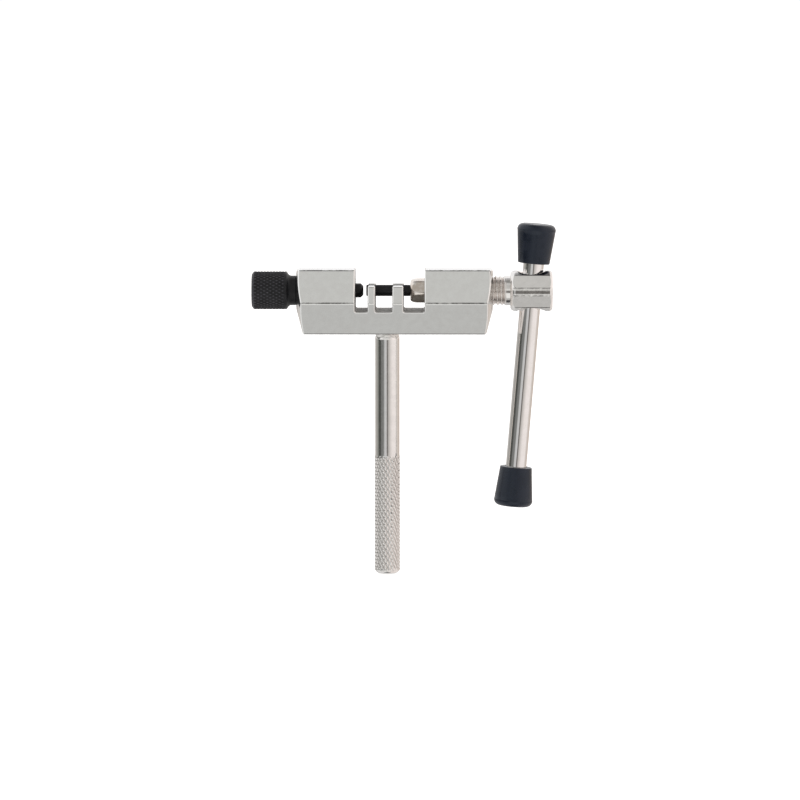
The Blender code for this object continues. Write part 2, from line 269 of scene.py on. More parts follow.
def clear_corners(shape, reach, sharp_angle):
    """Take away the short edges beside sharp edges and corners, so that there is room to round them."""
    sharp = {edge for edge in shape.edges if edge.calc_face_angle(0) > sharp_angle}
    rim = {vert for edge in sharp for vert in edge.verts}
    corners = {vert for vert in rim if sum(edge in sharp for edge in vert.link_edges) > 2}
    moved = {}
    for edge in shape.edges:
        if edge.calc_length() > reach:
            continue
        for kept, other in (edge.verts, reversed(edge.verts)):
            if (kept in corners and other not in corners) or (kept in rim and other not in rim):
                moved.setdefault(other, kept)
    bmesh.ops.weld_verts(shape, targetmap=moved)


def soften(piece, width, segments=3, angle=28):
    """Round a piece's sharp edges, and keep its flats shaded flat."""
    same_point = 0.02 * MM
    same_plane = math.radians(0.5)
    shape = bmesh.new()
    shape.from_mesh(piece.data)
    bmesh.ops.remove_doubles(shape, verts=shape.verts, dist=same_point)
    bmesh.ops.dissolve_limit(shape, angle_limit=same_plane, verts=shape.verts, edges=shape.edges)
    clear_corners(shape, 1.5 * width, math.radians(angle))
    shape.to_mesh(piece.data)
    shape.free()
    bevel = piece.modifiers.new("soften", "BEVEL")
    bevel.width = width
    bevel.segments = segments
    bevel.limit_method = "ANGLE"
    bevel.angle_limit = math.radians(angle)
    bevel.use_clamp_overlap = False
    bevel.miter_outer = "MITER_ARC"
    apply_modifiers(piece)
    piece.data.shade_smooth()
    weigh = piece.modifiers.new("flats", "WEIGHTED_NORMAL")
    weigh.mode = "FACE_AREA"
    weigh.weight = 100
    weigh.keep_sharp = True
    apply_modifiers(piece)


def hexagon_mesh(name, across_flats, low, high):
    """A hexagonal bar along local Z, with flats facing local +X and -X."""
    shape = bmesh.new()
    radius = across_flats / math.sqrt(3)
    bmesh.ops.create_cone(shape, cap_ends=True, segments=6, radius1=radius, radius2=radius,
                          depth=high - low)
    bmesh.ops.translate(shape, verts=shape.verts, vec=(0, 0, (low + high) / 2))
    return mesh_from(name, shape)


def rounded(corners, steps=5):
    """Outline points from (x, y, fillet radius) corners, an arc in place of each filleted corner."""
    outline = []
    for index, (x, y, radius) in enumerate(corners):
        if radius == 0:
            outline.append((x, y))
            continue
        before = corners[index - 1]
        after = corners[(index + 1) % len(corners)]
        to_before = math.atan2(before[1] - y, before[0] - x)
        turn = math.remainder(math.atan2(after[1] - y, after[0] - x) - to_before, 2 * math.pi)
        reach = radius / math.sin(abs(turn) / 2)
        middle = to_before + turn / 2
        centre = (x + reach * math.cos(middle), y + reach * math.sin(middle))
        start = to_before - math.copysign(math.pi / 2, turn)
        sweep = math.remainder(turn - math.copysign(math.pi, turn), 2 * math.pi)
        for angle in np.linspace(start, start + sweep, steps + 1):
            outline.append((centre[0] + radius * math.cos(angle), centre[1] + radius * math.sin(angle)))
    return outline


def plate_tool(outline, half_depth):
    """A cutter from an outline in world X and Z, centred on the plane y = 0."""
    shape = bmesh.new()
    face = shape.faces.new([shape.verts.new((x, -half_depth, z)) for x, z in outline])
    grown = bmesh.ops.extrude_face_region(shape, geom=[face])
    moved = [item for item in grown["geom"] if isinstance(item, bmesh.types.BMVert)]
    bmesh.ops.translate(shape, verts=moved, vec=(0, 2 * half_depth, 0))
    bmesh.ops.recalc_face_normals(shape, faces=shape.faces)
    return new_piece("tool", mesh_from("tool", shape))


def mark(mesh, name, values, domain="POINT"):
    """Store a value for each point or face of a mesh, for its material to read."""
    kept = mesh.attributes.new(name, "FLOAT", domain)
    kept.data.foreach_set("value", np.asarray(values, np.float32).ravel())


def mark_rings(mesh, name, values):
    """Store a value for each point of a tube's rings, and 0 for the middles of its two ends."""
    mark(mesh, name, np.append(values, (0, 0)))


def finish_piece(piece, body, slot, material, *nodes):
    """Shade, colour and seat a piece, and store where its points are for the material's patterns."""
    mesh = piece.data
    if "custom_normal" not in mesh.attributes:
        mesh.shade_smooth()
        mesh.set_sharp_from_angle(angle=SHARP_ANGLE)
    places = np.empty(len(mesh.vertices) * 3, np.float32)
    mesh.vertices.foreach_get("co", places)
    spot = mesh.attributes.new("spot", "FLOAT_VECTOR", "POINT")
    spot.data.foreach_set("vector", places / MM)
    mesh.materials.clear()
    mesh.materials.append(material)
    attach(piece, body)
    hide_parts(*nodes)


# ---------------------------------------------------------------- material helpers
class Wires:
    """A short way to wire the nodes of a tree."""

    def __init__(self, tree):
        self.tree = tree

    def node(self, kind, **settings):
        """Add a node and set its properties."""
        made = self.tree.nodes.new("ShaderNode" + kind)
        for key, value in settings.items():
            setattr(made, key, value)
        return made

    def link(self, output, socket):
        """Join an output to a socket."""
        self.tree.links.new(output, socket)

    def fill(self, made, **values):
        """Set a node's sockets by name, with spaces written as underscores."""
        for name, value in values.items():
            made.inputs[name.replace("_", " ")].default_value = value

    def spot(self):
        """The piece's own coordinates in millimetres."""
        return self.node("Attribute", attribute_name="spot").outputs["Vector"]

    def marked(self, name):
        """A value stored on the mesh."""
        return self.node("Attribute", attribute_name=name).outputs["Fac"]

    def math(self, operation, first, second=None):
        """A math node on sockets or numbers."""
        made = self.node("Math", operation=operation)
        for socket, value in zip(made.inputs, (first, second)):
            if value is None:
                continue
            if isinstance(value, (int, float)):
                socket.default_value = value
            else:
                self.link(value, socket)
        return made.outputs[0]

    def noise(self, vector, scale, detail, roughness=0.5):
        """Noise from about 0 to 1."""
        made = self.node("TexNoise")
        self.link(vector, made.inputs["Vector"])
        self.fill(made, Scale=scale, Detail=detail, Roughness=roughness)
        return made.outputs["Fac"]

    def ramp(self, value, low, high, to_low=0.0, to_high=1.0):
        """A value mapped smoothly from one range to another."""
        made = self.node("MapRange", interpolation_type="SMOOTHSTEP")
        self.link(value, made.inputs["Value"])
        self.fill(made, From_Min=low, From_Max=high, To_Min=to_low, To_Max=to_high)
        return made.outputs["Result"]

    def mix(self, factor, first, second, blend="MIX"):
        """Two colours or sockets mixed by a socket or a number."""
        made = self.node("Mix", data_type="RGBA", blend_type=blend)
        if isinstance(factor, float):
            made.inputs["Factor"].default_value = factor
        else:
            self.link(factor, made.inputs["Factor"])
        for socket, value in ((made.inputs[6], first), (made.inputs[7], second)):
            if isinstance(value, tuple):
                socket.default_value = (*value, 1.0)
            else:
                self.link(value, socket)
        return made.outputs[2]

    def bump(self, height, distance):
        """Bump from a height, its distance in millimetres."""
        made = self.node("Bump")
        self.fill(made, Distance=distance * MM)
        self.link(height, made.inputs["Height"])
        return made

    def table(self, place, stops):
        """The colour at a place from 0 to 1, from (place, colour) stops."""
        made = self.node("ValToRGB")
        self.link(place, made.inputs["Fac"])
        elements = made.color_ramp.elements
        elements.remove(elements[1])
        elements[0].position = stops[0][0]
        elements[0].color = (*stops[0][1], 1.0)
        for where, colour in stops[1:]:
            elements.new(where).color = (*colour, 1.0)
        return made.outputs["Color"]


class Shade(Wires):
    """A new material and its shader."""

    def __init__(self, name):
        self.material = bpy.data.materials.new(name)
        self.material.use_nodes = True
        super().__init__(self.material.node_tree)
        self.shader = self.tree.nodes["Principled BSDF"]

    def drive(self, name, output):
        """Join an output to one of the shader's sockets."""
        self.link(output, self.shader.inputs[name])


def metal(name, light, dark, roughness, spread, wave, grain=0.0005,
          hollow_shade=None, valley_roughness=0.30, dull=0.0, painted_reflection_lines=None):
    """Plated metal, cloudy and finely grained; hollows may be duller and darkened by painted shade, and
    marked edges carry painted dark reflection lines.
    """
    shade = Shade(name)
    spot = shade.spot()
    cloud = shade.noise(spot, scale=0.5, detail=4.0, roughness=0.6)
    fine = shade.noise(spot, scale=4.0, detail=3.0, roughness=0.55)
    smear = shade.noise(spot, scale=1.6, detail=5.0, roughness=0.65)
    tone = shade.mix(shade.ramp(cloud, 0.35, 0.65), dark, light)
    rough = shade.ramp(smear, 0.3, 0.7, roughness - spread, roughness + spread)
    # Hollows are made rougher and painted darker, a painted shade in the recesses.
    if hollow_shade is not None:
        uneven = shade.ramp(fine, 0.25, 0.75, to_low=0.75)
        low = shade.math("MULTIPLY", shade.marked("hollow"), uneven)
        tone = shade.mix(low, tone, hollow_shade)
        rough = shade.math("ADD", rough, shade.math("MULTIPLY", low, valley_roughness - roughness))
    # Marked edges get painted dark reflection lines, broken into patches.
    if painted_reflection_lines is not None:
        broken = shade.noise(spot, scale=0.7, detail=5.0, roughness=0.7)
        patches = shade.ramp(broken, 0.38, 0.60, to_low=0.25)
        tone = shade.mix(shade.math("MULTIPLY", shade.marked("edge"), patches), tone, painted_reflection_lines)
    if dull:
        shade.drive("Metallic", shade.math("SUBTRACT", 1.0, shade.math("MULTIPLY", low, dull)))
    else:
        shade.fill(shade.shader, Metallic=1.0)
    shade.drive("Base Color", tone)
    shade.drive("Roughness", rough)
    waves = shade.bump(shade.noise(spot, scale=0.45, detail=2.0), wave)
    pits = shade.bump(fine, grain)
    shade.link(waves.outputs["Normal"], pits.inputs["Normal"])
    shade.drive("Normal", pits.outputs["Normal"])
    return shade.material


def body_steel():
    """Bright nickel plate over a body cut by milling, its slot duller than its polished flats and
    darkened by painted shade, with painted dark reflection lines along its edges.
    """
    return metal("body_steel", light=(0.86, 0.86, 0.845), dark=(0.83, 0.825, 0.81),
                 roughness=0.11, spread=0.025, wave=0.008,
                 hollow_shade=(0.42, 0.41, 0.395), valley_roughness=0.85, dull=1.0,
                 painted_reflection_lines=(0.27, 0.265, 0.26))


def handle_steel():
    """Bright nickel rod, the bottoms of its knurl duller and darkened by painted shade."""
    return metal("handle_steel", light=(0.87, 0.85, 0.83), dark=(0.83, 0.81, 0.79),
                 roughness=0.12, spread=0.04, wave=0.006, grain=0.0015, hollow_shade=(0.42, 0.38, 0.35))


def screw_steel():
    """Bright machined steel, the roots of its thread darkened by painted shade, and painted dark
    reflection lines on the turned corners of its head.
    """
    return metal("screw_steel", light=(0.86, 0.84, 0.82), dark=(0.82, 0.80, 0.78),
                 roughness=0.14, spread=0.03, wave=0.008,
                 hollow_shade=(0.66, 0.60, 0.56), painted_reflection_lines=(0.30, 0.29, 0.28))


def nut_steel():
    """Turned steel, a little tarnished."""
    return metal("nut_steel", light=(0.80, 0.75, 0.70), dark=(0.66, 0.58, 0.51),
                 roughness=0.18, spread=0.05, wave=0.012)


def bar_chrome():
    """Bright plated rod."""
    return metal("bar_chrome", light=(0.88, 0.86, 0.85), dark=(0.85, 0.83, 0.81),
                 roughness=0.07, spread=0.02, wave=0.004, grain=0.0015)


def black_oxide(name, roughness):
    """Oiled black oxide over steel, gone grey where it is handled."""
    shade = Shade(name)
    spot = shade.spot()
    fine = shade.noise(spot, scale=3.0, detail=5.0, roughness=0.65)
    cloud = shade.noise(spot, scale=0.4, detail=3.0)
    tone = shade.mix(shade.ramp(cloud, 0.3, 0.7), (0.006, 0.006, 0.007), (0.013, 0.013, 0.015))
    crest = shade.math("MULTIPLY", shade.marked("crest"), shade.ramp(fine, 0.35, 0.65, to_low=0.3))
    shade.drive("Base Color", shade.mix(crest, tone, (0.10, 0.10, 0.115)))
    shade.fill(shade.shader, Metallic=0.25, Specular_IOR_Level=0.35)
    shade.drive("Roughness", shade.ramp(fine, 0.3, 0.7, roughness - 0.06, roughness + 0.08))
    shade.drive("Normal", shade.bump(fine, 0.004).outputs["Normal"])
    return shade.material


def cap_rubber():
    """Moulded navy-black rubber, smooth from handling, with a faint grain."""
    shade = Shade("cap_rubber")
    spot = shade.spot()
    fine = shade.noise(spot, scale=4.0, detail=6.0, roughness=0.6)
    cloud = shade.noise(spot, scale=0.35, detail=3.0)
    tone = shade.mix(shade.ramp(cloud, 0.3, 0.7), (0.0030, 0.0055, 0.0130), (0.0060, 0.0090, 0.0185))
    shade.drive("Base Color", tone)
    shade.fill(shade.shader, Specular_IOR_Level=0.44, Specular_Tint=(0.85, 0.92, 1.0, 1.0))
    shade.drive("Roughness", shade.ramp(cloud, 0.3, 0.7, 0.22, 0.34))
    shade.drive("Normal", shade.bump(fine, 0.005).outputs["Normal"])
    return shade.material


# ---------------------------------------------------------------- the body
def mark_body(body):
    """Mark the slot's faces, left rough by milling and darkened by painted shade, and the edges between
    the flats, which carry painted dark reflection lines.
    """
    centre = along_x(BODY_CENTRE)
    turn = centre.to_3x3()
    rounding = 0.1 * MM
    corner_radius = 1.08 * BODY_FLATS / 2
    flat_tolerance = 5
    milled_and_shaded = []
    painted_reflection_lines = []
    for face in body.data.polygons:
        x, y, z = centre @ face.center
        normal = turn @ face.normal
        between = SLOT_LEFT < x < SLOT_RIGHT
        wall = abs(normal.x) > 0.8 and SLOT_LEFT - rounding < x < SLOT_RIGHT + rounding
        floor = between and z < SLOT_FLOOR + SLOT_FILLET and normal.z > 0.3 and abs(normal.y) < 0.3
        milled_and_shaded.append(float(wall or floor))

        tilt = math.degrees(math.atan2(normal.z, normal.y))
        off_flat = abs(math.remainder(tilt - HEX_HALF, HEX_STEP)) > flat_tolerance
        corner = math.hypot(y, z - BODY_CENTRE) > corner_radius
        takes_dark_line = normal.z > -0.15 or normal.z < -0.7  # not the lower half of the middle edge
        post = between and z > SLOT_FLOOR
        painted_reflection_lines.append(float(corner and off_flat and takes_dark_line and not post and abs(normal.x) < 0.2))
    # The slot's faces take painted shade, and the marked edges take painted dark reflection lines.
    mark(body.data, "hollow", milled_and_shaded, "FACE")
    mark(body.data, "edge", painted_reflection_lines, "FACE")


def make_body():
    """The slotted hexagonal body with its edges rounded."""
    axis = along_x(SCREW_AXIS)
    left, right = BODY_LOW[0], BODY_HIGH[0]
    bar = hexagon_mesh("body_shell", BODY_FLATS, left, right)
    body = new_piece("body_shell", bar, along_x(BODY_CENTRE))
    cone_length = (ENVELOPE_RADIUS - END_CONE_RADIUS) * END_CONE_SLOPE
    outer = END_CONE_RADIUS - OVERRUN / END_CONE_SLOPE
    envelope = [(outer, left - OVERRUN), (ENVELOPE_RADIUS, left + cone_length),
                (ENVELOPE_RADIUS, right - cone_length), (outer, right + OVERRUN)]
    combine(body, turned_tool(envelope, axis, 128), "INTERSECT")

    above = BODY_HIGH[2] + OVERRUN
    corners = [(SLOT_LEFT, above, 0), (SLOT_LEFT, SLOT_FLOOR, SLOT_FILLET)]
    for low, high in (NARROW_POST, WIDE_POST):
        corners += [(low, SLOT_FLOOR, SLOT_FILLET), (low, POST_TOP, 0)]
        corners += [(high, POST_TOP, 0), (high, SLOT_FLOOR, SLOT_FILLET)]
    corners += [(SLOT_RIGHT, SLOT_FLOOR, SLOT_FILLET), (SLOT_RIGHT, above, 0)]
    combine(body, plate_tool(rounded(corners), BODY_FLATS))

    bore(body, ROLLER_GROOVE_RADIUS, NARROW_POST[0] - OVERRUN, WIDE_POST[1] + OVERRUN, axis)
    bore(body, DRIVE_BORE_RADIUS, SLOT_RIGHT - OVERRUN, right + OVERRUN, axis)
    bore(body, SUPPORT_BORE_RADIUS, left - OVERRUN, SLOT_LEFT + OVERRUN, axis)
    bore(body, STUD_HOLE_RADIUS, BODY_LOW[2] - OVERRUN, BODY_LOW[2] + STUD_HOLE_DEPTH, Matrix())
    soften(body, EDGE_SOFTNESS)
    mark_body(body)
    finish_piece(body, "frame", "body_steel", body_steel(), "body")


# ---------------------------------------------------------------- knurls and threads
def fade_between(heights, low, low_reach, high, high_reach):
    """A column that rises from 0 at a low height to 1, and falls back to 0 at a high one."""
    rise = np.clip((heights - low) / low_reach, 0, 1)
    fall = np.clip((high - heights) / high_reach, 0, 1)
    return (rise * fall)[:, None]


def knurl_cut(angles, heights, around, pitch, depth, land, second=1.0):
    """How deep a diamond knurl is cut: two sets of helical grooves, the second perhaps shallower."""
    turns = angles[None, :] * around / (2 * math.pi)
    climb = heights[:, None] / pitch
    cut = np.zeros((len(heights), len(angles)))
    for phase, share in ((turns + climb, 1.0), (turns - climb, second)):
        from_groove = np.abs(np.mod(phase + 0.5, 1.0) - 0.5)
        cut = np.maximum(cut, share * np.clip(1 - from_groove / (0.5 - land), 0, 1))
    return depth * cut


def thread_cut(angles, heights, low, high):
    """How deep a right-hand 60 degree thread is cut, fading in and out at its ends."""
    phase = np.mod(heights[:, None] / LEAD - angles[None, :] / (2 * math.pi), 1.0)
    from_groove = np.abs(phase - 0.5) * 2
    groove = np.clip((1 - from_groove - THREAD_CREST) / THREAD_FLANK, 0, 1)
    return THREAD_DEPTH * groove * fade_between(heights, low, 0.8 * LEAD, high, 0.5 * LEAD)


def make_handle():
    """The rod: rounded end, diamond knurl, smooth upper half, a shoulder under the body and a stud."""
    around, per_diamond, pitch, depth = 20, 10, 2.1 * MM, 0.28 * MM
    run_out = 0.8 * MM
    top = BODY_LOW[2]
    seat = top - 0.02 * MM
    flat_radius = KNURL_RADIUS - HANDLE_CORNER
    profile = [(flat_radius, 0.0)]
    profile += [(flat_radius + HANDLE_CORNER * math.sin(math.radians(a)),
                 HANDLE_CORNER * (1 - math.cos(math.radians(a)))) for a in range(9, 82, 9)]
    knurl = np.arange(HANDLE_CORNER, KNURL_LENGTH - 0.05 * MM, pitch / per_diamond)
    swell = np.clip((KNURL_LENGTH - knurl) / run_out, 0, 1)
    profile += zip(HANDLE_RADIUS + (KNURL_RADIUS - HANDLE_RADIUS) * swell, knurl)
    profile += [(HANDLE_RADIUS, KNURL_LENGTH), (HANDLE_RADIUS, KNURL_LENGTH + 1 * MM),
                (HANDLE_RADIUS, top - HANDLE_SHOULDER - 1 * MM), (HANDLE_RADIUS, top - HANDLE_SHOULDER)]
    shoulder = HANDLE_RADIUS - HANDLE_SHOULDER / 2
    stud = STUD_HOLE_RADIUS - 0.05 * MM
    profile += [(shoulder + 0.04 * MM, top - 0.08 * MM), (shoulder - 0.05 * MM, seat),
                (stud, seat), (stud, top + STUD_HOLE_DEPTH - 0.3 * MM)]
    radii, heights = profile_arrays(profile)
    angles = ring_angles(around * per_diamond)
    cut = knurl_cut(angles, heights, around, pitch, depth, land=0.05, second=0.72)
    cut *= fade_between(heights, 0.5 * MM, 1.2 * MM, KNURL_LENGTH, run_out)
    mesh = ring_mesh("handle_rod", radii[:, None] - cut, heights)
    # The knurl's grooves are marked for painted shade and a duller finish.
    mark_rings(mesh, "hollow", np.clip(cut / depth, 0, 1) ** 2)
    finish_piece(new_piece("handle_rod", mesh), "frame", "handle_steel", handle_steel(), "handle")


def make_support_knob():
    """The black support screw: knurled knob, filleted neck and threaded shank."""
    around, per_diamond, pitch, depth = 33, 8, 1.8 * MM, 0.24 * MM
    start, neck_end = KNOB_LOW[0], BODY_LOW[0] - 0.03 * MM
    chamfer, edge, corner = 0.7 * MM, 0.3 * MM, 0.35 * MM
    fillet, neck_edge = 1.25 * MM, 0.15 * MM
    face_radius = KNOB_RADIUS - chamfer - 0.25 * MM
    profile = [(face_radius, start)] + arc(face_radius, start + edge, edge, -90, -45, 4)
    profile += arc(KNOB_RADIUS - corner, start + chamfer + 0.1 * MM, corner, -45, 0, 4)
    knurl = np.arange(start + chamfer + 0.2 * MM, KNOB_END - 0.6 * MM, pitch / per_diamond)
    profile += [(KNOB_RADIUS, height) for height in knurl]
    profile += arc(KNOB_RADIUS - edge, KNOB_END - corner, edge, 0, 60, 4)
    profile += [(NECK_RADIUS + fillet * (1 - math.sin(math.radians(a))),
                 KNOB_END + 0.05 * MM + fillet * (1 - math.cos(math.radians(a))))
                for a in range(15, 91, 15)]
    profile += [(NECK_RADIUS, neck_end - neck_edge), (NECK_RADIUS - neck_edge, neck_end),
                (SHANK_RADIUS, neck_end)]
    shank = np.arange(neck_end + 0.1 * MM, SHANK_END - 0.4 * MM, LEAD / 10)
    profile += [(SHANK_RADIUS, height) for height in shank]
    stem_hole = STEM_RADIUS + 0.3 * MM
    profile += [(SHANK_RADIUS - 0.5 * MM, SHANK_END), (stem_hole, SHANK_END),
                (stem_hole, SHANK_END - 1.5 * MM)]
    radii, heights = profile_arrays(profile)
    angles = ring_angles(around * per_diamond)
    fade = fade_between(heights, start + 0.5 * MM, 0.5 * MM, KNOB_END - corner, 0.4 * MM)
    cut = knurl_cut(angles, heights, around, pitch, depth, land=0.06) * fade
    crest = np.clip(1 - 2.2 * cut / depth, 0, 1) * (fade > 0)
    cut += thread_cut(angles, heights, neck_end + 1.2 * MM, SHANK_END - 0.6 * MM)
    mesh = ring_mesh("support_screw", radii[:, None] - cut, heights)
    mark_rings(mesh, "crest", crest)
    knob = new_piece("support_screw", mesh, along_x(SCREW_AXIS))
    finish_piece(knob, "support_knob", "knob_black", black_oxide("knob_black", 0.42), "support_knob")


# ---------------------------------------------------------------- the drive screw and what it holds
def make_spindle():
    """The threaded spindle with its plain collar and spigot."""
    columns, per_lead = 112, 14
    chamfer = 0.3 * MM
    profile = [(SPIGOT_RADIUS - chamfer, SCREW_LOW[0]), (SPIGOT_RADIUS, SCREW_LOW[0] + chamfer),
               (SPIGOT_RADIUS, THREAD_START), (THREAD_RADIUS - 0.65 * MM, THREAD_START),
               (THREAD_RADIUS, THREAD_START + 0.6 * MM)]
    thread = np.arange(THREAD_START + 0.7 * MM, THREAD_END, LEAD / per_lead)
    profile += [(THREAD_RADIUS, height) for height in thread]
    profile += [(THREAD_RADIUS - 0.12 * MM, THREAD_END + 0.05 * MM),
                (THREAD_RADIUS, THREAD_END + 0.2 * MM), (THREAD_RADIUS, HEAD_START - 0.12 * MM),
                (THREAD_RADIUS - COLLAR_EDGE, HEAD_START + 0.05 * MM),
                (THREAD_RADIUS - COLLAR_EDGE, HEAD_START + 1.0 * MM)]
    radii, heights = profile_arrays(profile)
    cut = thread_cut(ring_angles(columns), heights, THREAD_START, THREAD_END)
    mesh = ring_mesh("drive_spindle", radii[:, None] - cut, heights)
    # The thread's roots are marked for painted shade and a duller finish.
    mark_rings(mesh, "hollow", np.clip(cut / THREAD_DEPTH, 0, 1))
    spindle = new_piece("drive_spindle", mesh, along_x(SCREW_AXIS))
    finish_piece(spindle, "drive_screw", "screw_steel", SCREW_STEEL, "drive_screw")


def make_head():
    """The cross-drilled hexagonal head, its corners and ends turned."""
    axis = along_x(SCREW_AXIS)
    head = new_piece("drive_head", hexagon_mesh("drive_head", HEAD_FLATS, HEAD_START, HEAD_END), axis)
    envelope = [(4.9 * MM, HEAD_START - 0.2 * MM), (5.62 * MM, HEAD_START + 0.25 * MM),
                (6.0 * MM, HEAD_START + 0.8 * MM), (HEAD_RADIUS, HEAD_START + 1.45 * MM),
                (HEAD_RADIUS, HEAD_END - 0.76 * MM), (HEAD_RADIUS - 0.96 * MM, HEAD_END + 0.2 * MM)]
    combine(head, turned_tool(envelope, axis, 128), "INTERSECT")
    reach = HEAD_FLATS / 2
    mouth = 2 * COUNTERSINK_RADIUS - CROSS_HOLE_RADIUS
    hole = [(mouth, -reach - COUNTERSINK_DEPTH), (CROSS_HOLE_RADIUS, COUNTERSINK_DEPTH - reach),
            (CROSS_HOLE_RADIUS, reach - COUNTERSINK_DEPTH), (mouth, reach + COUNTERSINK_DEPTH)]
    combine(head, turned_tool(hole, Matrix.Translation((HEAD_CENTRE, 0, SCREW_AXIS))))
    soften(head, 0.12 * MM, segments=2, angle=24)
    # The turned strips at the head's corners get painted dark reflection lines, full along their borders
    # and fainter in their middles.
    corner_half_width, corner_line_share = 9, 0.35
    painted_reflection_lines = []
    for face in head.data.polygons:
        x, y, _ = face.center
        from_corner = abs(math.remainder(math.degrees(math.atan2(y, x)) - HEX_HALF, HEX_STEP))
        turned = math.hypot(x, y) > HEAD_RADIUS - 0.1 * MM
        painted_reflection_lines.append((1.0 if from_corner > corner_half_width else corner_line_share) if turned else 0.0)
    mark(head.data, "edge", painted_reflection_lines, "FACE")
    finish_piece(head, "drive_screw", "screw_steel", SCREW_STEEL, "drive_screw")


def make_retainer():
    """The pin's retainer: a small hexagonal nut with its front turned to a cone."""
    axis = along_x(SCREW_AXIS)
    low, high = NUT_LOW[0], NUT_HIGH[0]
    turned = axis @ Matrix.Rotation(NUT_TURN, 4, "Z")
    nut = new_piece("pin_retainer", hexagon_mesh("pin_retainer", NUT_FLATS, low, high), turned)
    chamfer, seat, gap = 0.1 * MM, 1.4 * MM, 0.06 * MM
    flare = NUT_RADIUS - NUT_FACE_RADIUS
    envelope = [(NUT_FACE_RADIUS - 0.35 * MM, low - chamfer),
                (NUT_FACE_RADIUS - 0.05 * MM, low + chamfer)]
    envelope += [(NUT_FACE_RADIUS + flare * math.sin(math.radians(a)),
                  low + chamfer + NUT_CONE * (1 - math.cos(math.radians(a))))
                 for a in range(15, 91, 15)]
    envelope += [(NUT_RADIUS, high + 0.5 * MM)]
    combine(nut, turned_tool(envelope, axis, 80), "INTERSECT")
    hole = [(PIN_RADIUS + 0.35 * MM, low - 0.2 * MM), (PIN_RADIUS + gap, low + 0.15 * MM),
            (PIN_RADIUS + gap, low + seat), (SPIGOT_RADIUS + 0.1 * MM, low + seat),
            (SPIGOT_RADIUS + 0.1 * MM, high + OVERRUN)]
    combine(nut, turned_tool(hole, axis, 64))
    soften(nut, 0.07 * MM, segments=2, angle=12)
    finish_piece(nut, "drive_screw", "nut_steel", nut_steel(), "pin_nut")


def make_pin():
    """The hardened drive pin with its flange."""
    low, high = PIN_LOW[0], PIN_HIGH[0]
    profile = [(PIN_RADIUS - PIN_CORNER, low)]
    profile += arc(PIN_RADIUS - PIN_CORNER, low + PIN_CORNER, PIN_CORNER, -75, 0)
    profile += [(PIN_RADIUS, high - FLANGE_LENGTH), (FLANGE_RADIUS, high - FLANGE_LENGTH),
                (FLANGE_RADIUS, high)]
    pin = new_piece("push_pin", turned_mesh("push_pin", profile, 64), along_x(SCREW_AXIS))
    finish_piece(pin, "drive_pin", "pin_black", black_oxide("pin_black", 0.32), "drive_pin")


def make_nose():
    """The support screw's nose."""
    tip = NOSE_HIGH[0]
    edge, corner = 0.05 * MM, 0.08 * MM
    bevel_start = tip - (NOSE_RADIUS - NOSE_FACE_RADIUS)
    profile = [(STEM_RADIUS, NOSE_LOW[0]), (STEM_RADIUS, SHANK_END), (NOSE_RADIUS, SHANK_END + edge),
               (NOSE_RADIUS, bevel_start - 0.1 * MM), (NOSE_RADIUS - edge, bevel_start + edge),
               (NOSE_FACE_RADIUS + corner, tip - corner), (NOSE_FACE_RADIUS - corner, tip)]
    nose = new_piece("nose_tip", turned_mesh("nose_tip", profile, 64), along_x(SCREW_AXIS))
    finish_piece(nose, "support_nose", "knob_black", black_oxide("nose_black", 0.34), "support_nose")


# ---------------------------------------------------------------- the tommy bar
def make_bar():
    """The bright bar."""
    low = -(LOWER_CAP_START + CAP_BORE_DEPTH - BAR_END_GAP)
    high = UPPER_CAP_START + CAP_BORE_DEPTH - BAR_END_GAP
    profile = [(BAR_RADIUS - BAR_CHAMFER, low), (BAR_RADIUS, low + BAR_CHAMFER)]
    profile += [(BAR_RADIUS, height) for height in np.linspace(low + 1 * MM, high - 1 * MM, 24)]
    profile += [(BAR_RADIUS, high - BAR_CHAMFER), (BAR_RADIUS - BAR_CHAMFER, high)]
    bar = new_piece("sliding_bar", turned_mesh("sliding_bar", profile), along_bar())
    finish_piece(bar, "tommy_bar", "bar_chrome", bar_chrome(), "tommy_bar")


def make_cap(name, node, start, flip):
    """A moulded cap: tapered side, a faint parting lip, rounded end and a bore for the bar."""
    end = start + CAP_LENGTH
    lip = end - CAP_LIP_PLACE
    mouth = CAP_MOUTH_RADIUS
    bore_radius = BAR_RADIUS + 0.05 * MM
    edge = CAP_MOUTH_EDGE
    side_start = start + 0.3 * MM
    profile = [(bore_radius, start + CAP_BORE_DEPTH), (bore_radius, start + edge),
               (bore_radius + 0.15 * MM, start), (mouth - edge, start)]
    profile += arc(mouth - edge, start + edge, edge, -60, 0, 3)
    profile += [(mouth + (CAP_END_RADIUS - CAP_LIP - mouth) * t, side_start + (lip - side_start) * t)
                for t in np.linspace(0, 1, 9)[1:]]
    profile += [(CAP_END_RADIUS, lip + 0.08 * MM), (CAP_END_RADIUS, lip + 0.2 * MM)]
    profile += arc(CAP_END_RADIUS - CAP_CORNER, end - CAP_CORNER, CAP_CORNER, 6, 90, 10)
    profile += [(CAP_END_RADIUS - CAP_CORNER - 0.8 * MM, end)]
    mesh = turned_mesh(name, profile)
    mesh.transform(along_bar(flip))
    finish_piece(new_piece(name, mesh), "tommy_bar", "cap_rubber", CAP_RUBBER, node)


